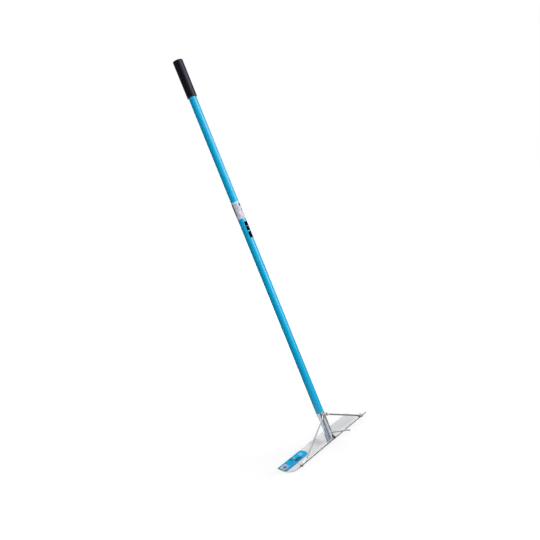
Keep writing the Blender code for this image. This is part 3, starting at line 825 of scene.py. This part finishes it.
def grain_group():
    """Rolling grain or brushing along the lesser axes of the stretch, or plain mottle at an even one."""
    tree, ends, out = new_group("grain", Place=EVEN, Stretch=EVEN, Scale=100.0, Detail=3.0, Contrast=2.0)
    scaled = times(drawn_noise(ends, ends["Detail"]), ends["Contrast"])
    feed(out[0], math_of("ADD", scaled, 0.5, clamp=True))
    return tree


def scratch_group():
    """Sparse thin scratches drawn out along one axis, broken up by a broad noise."""
    tree, ends, out = new_group("scratches", Place=EVEN, Stretch=EVEN, Scale=100.0, Amount=0.5)
    ridge = math_of("ABSOLUTE", drawn_noise(ends, 2.0))
    thin = math_of("SUBTRACT", 1.0, times(ridge, 60.0), clamp=True)
    broad = add_node("TexNoise", {"Vector": ends["Place"], "Scale": 45.0}).outputs[0]
    bare = math_of("SUBTRACT", broad, math_of("SUBTRACT", 0.75, ends["Amount"]))
    feed(out[0], times(thin, math_of("MULTIPLY", bare, 6.0, clamp=True)))
    return tree


def shared(group):
    """A tool that sets a group into a tree, with links or plain values on its inputs in their order."""
    return lambda *values: add_node("Group", dict(enumerate(values)), node_tree=group).outputs[0]


grain, scratches = shared(grain_group()), shared(scratch_group())


def begin(name):
    """A new material, and the place on the object by which its textures lie."""
    material = bpy.data.materials.new(name)
    material.use_nodes = True
    return material, add_node("TexCoord", {}, material.node_tree).outputs["Object"]


def coat(material, base, rough, *bumps, **values):
    """Feeds a material's shader. Its bumps, each a height and a depth in metres, lie one on the other."""
    normal = {}
    for height, depth in bumps:
        inputs = {"Strength": 1.0, "Distance": depth, "Height": height, **normal}
        normal = {"Normal": add_node("Bump", inputs).outputs[0]}
    for key, value in {"Base Color": base, "Roughness": rough, **normal, **values}.items():
        feed(material.node_tree.nodes["Principled BSDF"].inputs[key.replace("_", " ")], value)
    return material


# Finishes


def mottled(name, stretch, noise, colours, rough, depth=0.0, worn=None, **values):
    """A finish whose colour, roughness and height follow one noise. Worn is its wear's gain and drop."""
    material, place = begin(name)
    cloud = grain(place, stretch, *noise)
    share = math_of("SUBTRACT", times(cloud, worn[0]), worn[1], clamp=True) if worn else cloud
    bumps = [(cloud, depth)] if depth else []
    return coat(material, mixed(share, *colours), spread(cloud, *rough), *bumps, **values)


def bolt_zinc():
    """Bright zinc on bolts, nuts and rivets, a little yellow here and there."""
    colours = ((0.72, 0.72, 0.7), (0.92, 0.93, 0.94))
    return mottled("bright zinc", EVEN, (420.0, 4.0, 2.5), colours, (0.24, 0.42), 0.00003, Metallic=1.0)


def weld_metal():
    """Weld bead, duller than the plating and darker here and there."""
    colours = ((0.62, 0.62, 0.63), (0.92, 0.92, 0.93))
    return mottled("weld bead", EVEN, (260.0, 5.0, 3.0), colours, (0.34, 0.52), 0.0001, Metallic=0.35)


def hidden_steel():
    """The spigot's bare drawn steel, seen only down the tube's ends."""
    colours = ((0.34, 0.34, 0.35), (0.5, 0.5, 0.51))
    along = (1.0, 1.0, 0.04)
    return mottled("drawn steel", along, (900.0, 3.0, 2.0), colours, (0.35, 0.5), 0.00002, Metallic=1.0)


def lug_black():
    """Near black on the gusset, with grey patches here and there."""
    colours = ((0.006, 0.006, 0.007), (0.09, 0.09, 0.1))
    values = {"worn": (3.0, 2.3), "Specular_IOR_Level": 0.4}
    return mottled("dark gusset finish", EVEN, (700.0, 4.0, 3.0), colours, (0.42, 0.62), 0.00005, **values)


def print_ink():
    """Black ink, slightly broken where the paint's orange peel lets it thin out."""
    colours = ((0.001, 0.0016, 0.004), (0.004, 0.08, 0.16))
    values = {"worn": (2.0, 1.8), "Specular_IOR_Level": 0.0}
    return mottled("black ink", EVEN, (1100.0, 3.0, 4.0), colours, (0.4, 0.55), **values)


def blue_paint():
    """Sprayed enamel over steel: a little orange peel, faint rubs along the tube, a worn lower rim."""
    material, place = begin("blue enamel")
    cloud = grain(place, (1.0, 1.0, 0.25), 34.0, 4.0, 2.0)
    rubs = scratches(place, (1.0, 1.0, 0.03), 420.0, 0.4)
    rim = between(parts_of(place)[2], HANDLE_LOW.z - 1.0, HANDLE_LOW.z + 0.0016, 0.0016)
    chips = times(rim, grain(place, EVEN, 900.0, 2.0, 6.0))
    base = mixed(cloud, (0.0008, 0.375, 0.65), (0.0016, 0.42, 0.725))
    base = tinted(base, rubs, 0.06, (0.03, 0.44, 0.72))
    base = mixed(chips, base, (0.3, 0.34, 0.37))
    rough = plus(spread(cloud, 0.1, 0.13), times(rubs, 0.06))
    bumps = ((grain(place, EVEN, 620.0, 2.0, 1.2), 0.000003), (times(rubs, -1.0), 0.000001))
    return coat(material, base, rough, *bumps, Specular_IOR_Level=0.8)


def grip_rubber():
    """Matt black rubber with a fine grain, a mould line on each side and a little pale dust."""
    material, place = begin("moulded rubber")
    fine = grain(place, EVEN, 1500.0, 2.0, 2.0)
    dust = grain(place, (1.0, 1.0, 0.4), 60.0, 5.0, 3.0)
    line = between(parts_of(place)[0], -0.00015, 0.00015, 0.00025)
    base = mixed(dust, (0.0014, 0.0012, 0.0026), (0.003, 0.0026, 0.005))
    values = {"Specular_IOR_Level": 0.6, "Specular_Tint": (0.8, 0.76, 1.0)}
    return coat(material, base, spread(dust, 0.34, 0.42), (fine, 0.00002), (line, 0.00012), **values)


def socket_steel():
    """Zinc plated tube, brushed round and round, with painted shade down its sides and a painted highlight on
    its front, both just above the foot.
    """
    material, place = begin("brushed zinc tube")
    _, y, z = parts_of(place)
    brushed = grain(place, (0.12, 0.12, 1.0), 2600.0, 3.0, 2.4)
    cloud = grain(place, EVEN, 70.0, 4.0, 2.0)
    nicks = scratches(place, (1.0, 1.0, 0.08), 500.0, 0.45)
    foot = between(z, EDGE_LEVEL - 0.06, EDGE_LEVEL + 0.018, 0.014)
    # Painted shade: a near-black band down each side just above the foot, where the metal also loses its
    # shine.
    painted_side_shade = times(times(foot, between(y, 0.0035, 0.0095, 0.0035)), spread(cloud, 0.6, 0.95))
    # Painted highlight: the front just above the foot is tinted near white.
    painted_front_highlight = times(foot, between(y, -1.0, -0.0145, 0.0018))
    base = mixed(brushed, (0.68, 0.73, 0.79), (0.84, 0.89, 0.95))
    base = tinted(base, cloud, 0.25, (0.62, 0.67, 0.72))
    base = tinted(base, painted_front_highlight, 0.6, (0.94, 0.95, 0.97))
    base = mixed(painted_side_shade, base, (0.07, 0.062, 0.06))
    rough = plus(spread(cloud, 0.13, 0.19), times(nicks, 0.2))
    rough = plus(plus(rough, times(foot, 0.12)), times(painted_side_shade, 0.3))
    bumps = ((brushed, 0.000004), (times(nicks, -1.0), 0.00002))
    return coat(material, base, rough, *bumps, Metallic=math_of("SUBTRACT", 1.0, painted_side_shade))


def rod_steel(name, tone, rough):
    """Zinc plated rod, with soft crystals in the plating, small changes of tone, and a painted highlight on
    the braces' pressed ends.
    """
    material, place = begin(name)
    crystals = add_node("TexVoronoi", {"Vector": place, "Scale": 700.0}).outputs["Distance"]
    cloud = grain(place, EVEN, 90.0, 4.0, 2.2)
    height = parts_of(place)[2]
    top = between(height, BRACE_TOP - 0.008, BRACE_TOP + 0.008, 0.003)
    foot = between(height, EDGE_LEVEL - 0.02, EDGE_LEVEL + 0.007, 0.003)
    base = mixed(cloud, (tone, tone * 1.01, tone * 1.05), (tone * 1.2, tone * 1.21, tone * 1.25))
    base = tinted(base, crystals, 0.3, (0.36, 0.37, 0.39))
    # Painted highlight: the pressed ends at the top and at the foot are tinted near white.
    base = tinted(base, math_of("MAXIMUM", top, foot), 0.9, (0.84, 0.85, 0.88))
    bumps = ((cloud, 0.00002), (crystals, 0.00001))
    return coat(material, base, spread(cloud, rough, rough + 0.08), *bumps, Metallic=1.0)


def blade_aluminium():
    """Mill-finish sheet with its rolling grain along the blade, rub marks, and painted shade on its top edge.
    """
    material, place = begin("rolled aluminium")
    rolled = grain(place, (0.02, 1.0, 1.0), 1500.0, 3.0, 2.2)
    cloud = grain(place, (0.35, 1.0, 1.0), 26.0, 5.0, 2.0)
    rubs = scratches(place, (0.04, 1.0, 1.0), 300.0, 0.45)
    onward = math.cos(HALF_ARC) * ALONG_CHORD - math.sin(HALF_ARC) * OFF_CHORD
    along = add_node("VectorMath", {0: place, 1: onward}, operation="DOT_PRODUCT")
    edge = on_arc(-HALF_ARC, INNER_RADIUS).dot(onward)
    # Painted shade: the top edge's face and its narrow rounding are tinted near black.
    painted_edge_shade = between(math_of("SUBTRACT", along.outputs["Value"], edge), -0.01, 0.0004, 0.0003)
    base = mixed(rolled, (0.81, 0.815, 0.83), (0.91, 0.915, 0.93))
    base = tinted(base, cloud, 0.35, (0.77, 0.775, 0.8))
    base = tinted(base, rubs, 0.3, (0.93, 0.93, 0.93))
    base = mixed(painted_edge_shade, base, (0.035, 0.035, 0.038))
    rough = plus(spread(cloud, 0.4, 0.5), times(rubs, -0.1))
    return coat(material, base, rough, (rolled, 0.00001), (cloud, 0.00006), Metallic=0.3)


def patch(u, v, low_u, high_u, low_v, high_v, blur):
    """1 on a block of the piece's own map."""
    return times(between(u, low_u, high_u, blur), between(v, low_v, high_v, blur))


LABEL_BARS_AND_SHADE = (  # across, up and the colour of each bar
    # The first row, a dark grey band along the label's left side, is painted shade.
    (0.16, 0.372, 0.24, 0.9, (0.13, 0.13, 0.14)),
    (0.485, 0.53, 0.75, 0.86, (0.25, 0.28, 0.25)),
    (0.492, 0.566, 0.53, 0.7, (0.38, 0.38, 0.56)),
    (0.505, 0.59, 0.46, 0.49, (0.34, 0.34, 0.4)),
    (0.645, 0.7, 0.46, 0.55, (0.04, 0.04, 0.05)),
    (0.64, 0.71, 0.36, 0.42, (0.14, 0.24, 0.17)),
    (0.63, 0.74, 0.7, 0.89, (0.05, 0.04, 0.035)),
    (0.452, 0.526, 0.15, 0.27, (0.72, 0.36, 0.48)),
    (0.52, 0.64, 0.1, 0.12, (0.4, 0.4, 0.46)),
    (0.78, 0.96, 0.78, 0.84, (0.2, 0.2, 0.22)),
    (0.78, 0.93, 0.66, 0.69, (0.36, 0.36, 0.4)),
    (0.78, 0.95, 0.58, 0.61, (0.36, 0.36, 0.4)),
    (0.78, 0.9, 0.5, 0.53, (0.36, 0.36, 0.4)),
    (0.78, 0.96, 0.18, 0.4, (0.1, 0.1, 0.12)),
)


def label_paper():
    """Satin white label film with plain bars in dull colours, a band of painted shade down its left side, a
    blue top edge and slightly grubby rims.
    """
    material, place = begin("label film")
    u, v, _ = parts_of(place.node.outputs["UV"])
    grime = grain(place, EVEN, 110.0, 4.0, 1.5)
    base = mixed(grime, (0.56, 0.55, 0.66), (0.66, 0.65, 0.76))
    for *spans, colour in LABEL_BARS_AND_SHADE:
        base = mixed(patch(u, v, *spans, 0.004), base, colour)
    base = mixed(between(v, 0.93, 1.1, 0.01), base, (0.36, 0.78, 0.9))
    rim = math_of("SUBTRACT", 1.0, patch(u, v, 0.012, 0.988, 0.02, 0.98, 0.012))
    base = tinted(base, rim, 0.4, (0.42, 0.5, 0.56))
    return coat(material, base, spread(grime, 0.38, 0.52), (grime, 0.00002), Specular_IOR_Level=0.3)


STICKER_BLOCKS_AND_HIGHLIGHT = (  # across, up and the colour of each block
    (-0.1, 1.1, -0.1, 0.04, (0.03, 0.24, 0.23)),
    (0.36, 0.86, 0.045, 0.24, (0.56, 0.62, 0.74)),
    (0.47, 0.72, 0.09, 0.19, (0.19, 0.19, 0.33)),
    (0.62, 0.95, 0.45, 0.56, (0.004, 0.3, 0.33)),
    (0.68, 0.86, 0.56, 0.63, (0.2, 0.52, 0.62)),
    (0.2, 0.52, 0.52, 0.72, (0.03, 0.045, 0.15)),
    (0.3, 0.34, 0.56, 0.68, (0.2, 0.2, 0.34)),
    # Painted highlight: this last, bright cyan block.
    (0.5, 0.8, 0.77, 0.88, (0.16, 0.66, 0.84)),
)


def sticker_film():
    """Satin film with a plain design of blocks in blues and green, a bright cyan painted highlight, and a
    green rim.
    """
    material, place = begin("sticker film")
    u, v, _ = parts_of(place.node.outputs["UV"])
    fade = grain(place, EVEN, 60.0, 4.0, 2.0)
    base = mixed(fade, (0.0006, 0.4, 0.8), (0.0014, 0.48, 0.95))
    for *spans, colour in STICKER_BLOCKS_AND_HIGHLIGHT:
        base = mixed(patch(u, v, *spans, 0.02), base, colour)
    base = mixed(patch(u, v, 0.05, 0.95, 0.02, 0.97, 0.02), (0.002, 0.26, 0.29), base)
    return coat(material, base, spread(fade, 0.28, 0.4), (fade, 0.00004), Specular_IOR_Level=0.08)


# Camera, floor and light


def make_camera():
    """A level camera turned to its bearing and rise, then rolled about its own line of sight."""
    camera = bpy.data.objects.new("camera", bpy.data.cameras.new("camera"))
    camera.data.lens = CAMERA_LENS
    camera.data.clip_start = 0.05
    camera.data.clip_end = 100.0
    camera.matrix_world = (
        Matrix.Translation(EYE)
        @ Matrix.Rotation(CAMERA_BEARING - math.pi / 2, 4, "Z")
        @ Matrix.Rotation(CAMERA_RISE + math.pi / 2, 4, "X")
        @ Matrix.Rotation(-CAMERA_ROLL, 4, "Z")
    )
    bpy.context.scene.collection.objects.link(camera)
    bpy.context.scene.camera = camera


# What glossy rays see in place of the lamps. Each part of the studio has a tone at each bearing, in degrees
# from +X, and the share of it that shows at each steepness, from -1 straight down to 1 straight up.
STUDIO = (
    (  # front wall
        (
            (-180, 1.66), (-168, 1.22), (-156, 0.58), (-147, 0.25), (-138, 0.24), (-128, 0.5), (-114, 0.9),
            (-102, 1.04), (-88, 1.08), (-74, 1), (-60, 0.84), (-46, 0.58), (-28, 0.26), (0, 0.12),
            (35, 0.12), (70, 0.4), (100, 1.15), (150, 1.6), (180, 1.66),
        ),
        (
            (-1, 0.3), (-0.5, 0.5), (-0.34, 1), (-0.27, 1), (-0.24, 1), (-0.22, 0.5), (-0.2, 0.03),
            (0.42, 0.015), (0.56, 0.7), (1, 0.7),
        ),
    ),
    (  # back wall
        (
            (-180, 0), (4, 0), (12, 0.3), (20, 0.7), (30, 1), (40, 1.2), (50, 1.8), (62, 2), (78, 0.7),
            (92, 0), (180, 0),
        ),
        (
            (-1, 0), (-0.3, 0.6), (-0.18, 2), (-0.06, 3.1), (0.06, 2.6), (0.2, 1.85), (0.3, 1.6),
            (0.5, 0.8), (0.75, 0.4), (0.9, 0), (1, 0),
        ),
    ),
    (  # ceiling
        ((-180, 0), (-40, 0), (0, 0.65), (12, 0.7), (24, 0.45), (40, 0.1), (60, 0), (180, 0)),
        ((-1, 0), (0.35, 0), (0.55, 1), (1, 1)),
    ),
    (  # straight up
        ((-180, 1), (180, 1)),
        ((-1, 0), (0.72, 0), (0.88, 1.1), (1, 1.1)),
    ),
    (  # tall softbox
        (
            (-180, 0), (-136, 0), (-122, 0.14), (-108, 0.72), (-93, 2), (-79, 3.7), (-68, 3.4), (-56, 1.6),
            (-42, 0.18), (-24, 0.04), (-8, 0), (180, 0),
        ),
        (
            (-1, 0), (-0.2, 0), (-0.15, 0.26), (-0.05, 1), (0.16, 1), (0.27, 1.35), (0.36, 1.35),
            (0.46, 0), (1, 0),
        ),
    ),
    (  # its bright side
        ((-180, 0), (-78, 0), (-60, 1.6), (-44, 2.6), (-24, 1), (-10, 0.1), (0, 0), (180, 0)),
        ((-1, 0), (0, 0), (0.14, 1), (0.2, 1), (0.26, 0.1), (0.4, 0.1), (0.5, 0), (1, 0)),
    ),
    (  # glow over the front wall
        (
            (-180, 0), (-165, 0), (-150, 0.08), (-139, 0.2), (-125, 0.26), (-110, 0.28), (-95, 0.15),
            (-80, 0), (180, 0),
        ),
        ((-1, 0), (0.21, 0), (0.27, 1), (0.42, 1), (0.5, 0), (1, 0)),
    ),
)
BRIGHTEST = 10.0  # what a height of 1 stands for on the studio's curves
SOFT_LIGHT = 0.15
FLOOR_SIZE, FLOOR_GAP = 60.0, 0.0005
FLOOR_GREYS = (0.42, 0.40)  # to the camera, and to all other rays
FLOOR_GLOW, FLOOR_FADE = (0.73, 1.0), 4.0  # from the middle outwards, over this distance
LAMPS = (  # bearing, height and distance of each lamp, the width and height of its face, and its watts
    ("key", -76.0, -0.9, 3.0, 1.4, 2.0, 98.0),
    ("front", -150.0, 0.2, 3.6, 2.4, 2.4, 63.0),
    ("back", 55.0, 0.6, 3.6, 2.4, 2.4, 60.0),
)


def either(ray, first, second):
    """The second shader for this kind of ray, and the first for all others."""
    rays = add_node("LightPath", {}, first.id_data).outputs
    return add_node("MixShader", {0: rays[ray], 1: first.outputs[0], 2: second.outputs[0]})


def make_world():
    """White to the camera, an even grey to soft light, and the studio's parts to gloss."""
    world = bpy.data.worlds.new("studio")
    world.use_nodes = True
    tree = world.node_tree
    tree.nodes.clear()
    place = add_node("TexCoord", {}, tree).outputs["Generated"]
    around = add_node("TexGradient", {0: place}, gradient_type="RADIAL").outputs["Fac"]
    steep = math_of("MULTIPLY_ADD", parts_of(place)[2], 0.5, 0.5)
    total = 0.0
    for tones, levels in STUDIO:
        most = max(tone for _, tone in tones)
        tone = ramp_of(around, [((bearing + 180) / 360, tone / most) for bearing, tone in tones])
        stops = [((steepness + 1) / 2, share * most / BRIGHTEST) for steepness, share in levels]
        total = plus(total, times(tone, ramp_of(steep, stops)))
    soft, mirrored, white = (
        add_node("Background", {"Color": colour, "Strength": strength}, tree)
        for colour, strength in ((EVEN, SOFT_LIGHT), ((0.8, 0.8, 0.8), times(total, BRIGHTEST)), (EVEN, 1.0))
    )
    light = either("Is Camera Ray", either("Is Glossy Ray", soft, mirrored), white)
    add_node("OutputWorld", {"Surface": light.outputs[0]})
    bpy.context.scene.world = world


def make_lamp(name, bearing, height, distance, width, tall, power):
    """A softbox that faces the middle of the handle. Gloss shows the studio's tones in its place."""
    lamp = bpy.data.objects.new(name, bpy.data.lights.new(name, "AREA"))
    lamp.data.shape = "RECTANGLE"
    lamp.data.size = width
    lamp.data.size_y = tall
    lamp.data.energy = power
    angle = math.radians(bearing)
    lamp.location = (distance * math.cos(angle), distance * math.sin(angle), height)
    aim = Vector((0.0, 0.0, (cad_low.z + cad_high.z) / 2))
    lamp.rotation_euler = (aim - lamp.location).to_track_quat("-Z", "Y").to_euler()
    lamp.visible_glossy = False
    bpy.context.scene.collection.objects.link(lamp)


def make_floor():
    """A pale floor under the blade. It shows white to the camera and keeps the rake's soft shadow."""
    bpy.ops.mesh.primitive_plane_add(size=FLOOR_SIZE, location=(0.0, 0.0, cad_low.z - FLOOR_GAP))
    floor = named("floor")
    material, place = begin("pale floor")
    nodes = material.node_tree.nodes
    nodes.remove(nodes["Principled BSDF"])
    shade, plain = (
        add_node("BsdfDiffuse", {"Color": (grey, grey, grey)}, material.node_tree)
        for grey in FLOOR_GREYS
    )
    away = add_node("VectorMath", {0: place}, operation="LENGTH").outputs["Value"]
    glow = spread(math_of("DIVIDE", away, FLOOR_FADE, clamp=True), *FLOOR_GLOW)
    light = add_node("Emission", {"Strength": glow})
    shown = add_node("AddShader", {0: shade.outputs[0], 1: light.outputs[0]})
    seen = either("Is Camera Ray", plain, shown)
    feed(nodes["Material Output"].inputs["Surface"], seen.outputs[0])
    floor.data.materials.append(material)
    floor.visible_glossy = False


def main():
    bpy.context.scene.view_settings.view_transform = "Standard"
    make_camera()
    make_world()
    make_floor()
    for lamp in LAMPS:
        make_lamp(*lamp)

    zinc, bead = bolt_zinc(), weld_metal()
    make_handle(blue_paint())
    make_grip(grip_rubber())
    make_label(label_paper())
    make_print(print_ink())
    make_rivets(zinc)
    make_socket(socket_steel())
    make_blade(blade_aluminium())
    make_sticker(sticker_film())
    make_foot_weld(bead)
    make_hook_weld(bead)
    make_hook(rod_steel("plated hook", 0.78, 0.40))
    # The braces take a darker tone of the hook's plated steel: painted shade.
    make_braces(rod_steel("plated rod", 0.44, 0.26))
    make_fasteners(zinc)
    for node, material in (("front_lug", lug_black()), ("spigot_tube", hidden_steel())):
        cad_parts[node].data.materials.clear()
        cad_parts[node].data.materials.append(material)


main()
